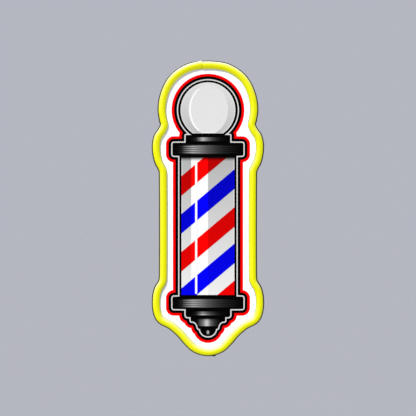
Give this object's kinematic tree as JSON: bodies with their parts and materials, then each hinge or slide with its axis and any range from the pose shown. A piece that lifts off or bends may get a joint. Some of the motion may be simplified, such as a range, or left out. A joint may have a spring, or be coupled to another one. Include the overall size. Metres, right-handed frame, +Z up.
{
  "type": "barber pole light",
  "caption": "Wall-hung light in the outline of a barber pole: a yellow neon-style tube round a back-lit striped picture.",
  "frame": {"origin": "middle of the rear cover's flat back face, level with the middle of the sign", "axes": "+Z up the sign, the front faces -Y, +Y points into the wall, +X to the right as seen from in front"},
  "size_m": [0.1352, 0.027, 0.3565],
  "materials": {
    "black_plastic": "fine-grained moulded black plastic",
    "grey_plastic": "satin dark grey moulded plastic",
    "opal_acrylic": "opal white acrylic, lit from behind",
    "yellow_silicone": "translucent yellow silicone, lit from inside",
    "phosphor": "yellow phosphor over small LEDs",
    "strip_white": "white solder mask on flexible circuit",
    "reflector_white": "white reflecting sheet",
    "board_green": "green solder mask",
    "steel": "brushed steel",
    "screw_black": "black oxide",
    "chip_black": "moulded epoxy",
    "can_silver": "drawn aluminium can",
    "connector_white": "off-white nylon",
    "wire_red": "red PVC",
    "wire_black": "black PVC",
    "film_red": "translucent red film",
    "film_blue": "translucent blue film",
    "film_black": "opaque black film",
    "film_silver": "silver-grey film",
    "film_white": "translucent white film",
    "film_grey": "translucent shaded grey film"
  },
  "bodies": {
    "root": {"ball_sheen_film": "film_grey", "band_sheen_film": "film_grey", "black_border": "film_black", "blue_stripe_lower": "film_blue", "blue_stripe_upper": "film_blue", "board_screw_1": "steel", "board_screw_2": "steel", "bottom_collar_sheen_film": "film_grey", "cap_sheen_film": "film_grey", "capacitor": "can_silver", "control_board": "board_green", "cover_screw_1": "screw_black", "cover_screw_2": "screw_black", "cover_screw_3": "screw_black", "cover_screw_4": "screw_black", "cover_screw_5": "screw_black", "cover_screw_6": "screw_black", "driver_chip": "chip_black", "face_lead_negative": "wire_black", "face_lead_positive": "wire_red", "face_light_phosphor": "phosphor", "face_light_strip": "strip_white", "face_panel": "opal_acrylic", "globe_film": "film_grey", "globe_highlight_film": "film_white", "globe_lens_film": "film_white", "housing": "black_plastic", "inductor": "chip_black", "keyhole_plate_left": "steel", "keyhole_plate_right": "steel", "keyhole_screw_1": "steel", "keyhole_screw_2": "steel", "keyhole_screw_3": "steel", "keyhole_screw_4": "steel", "neon_diffuser": "yellow_silicone", "neon_lead_negative": "wire_black", "neon_lead_positive": "wire_red", "neon_phosphor": "phosphor", "neon_strip": "strip_white", "ogee_sheen_film": "film_grey", "pole_silhouette": "film_black", "rear_cover": "black_plastic", "red_border": "film_red", "red_stripe_lower": "film_red", "red_stripe_middle": "film_red", "red_stripe_upper": "film_red", "reflector": "reflector_white", "shaft_film": "film_white", "shaft_highlight_film": "film_white", "silver_line": "film_silver", "switch_body": "grey_plastic", "top_collar_sheen_film": "film_grey", "usb_shell": "steel", "usb_tongue": "chip_black", "wire_connector": "connector_white"},
    "button": {"power_button": "grey_plastic", "switch_plunger": "grey_plastic"}
  },
  "joints": [
    {"name": "power_button_press", "type": "slide", "parent": "root", "child": "button", "axis": [0, 0, 1], "range_m": [0, 0.0012], "stiffness_N_per_m": 800}
  ]
}
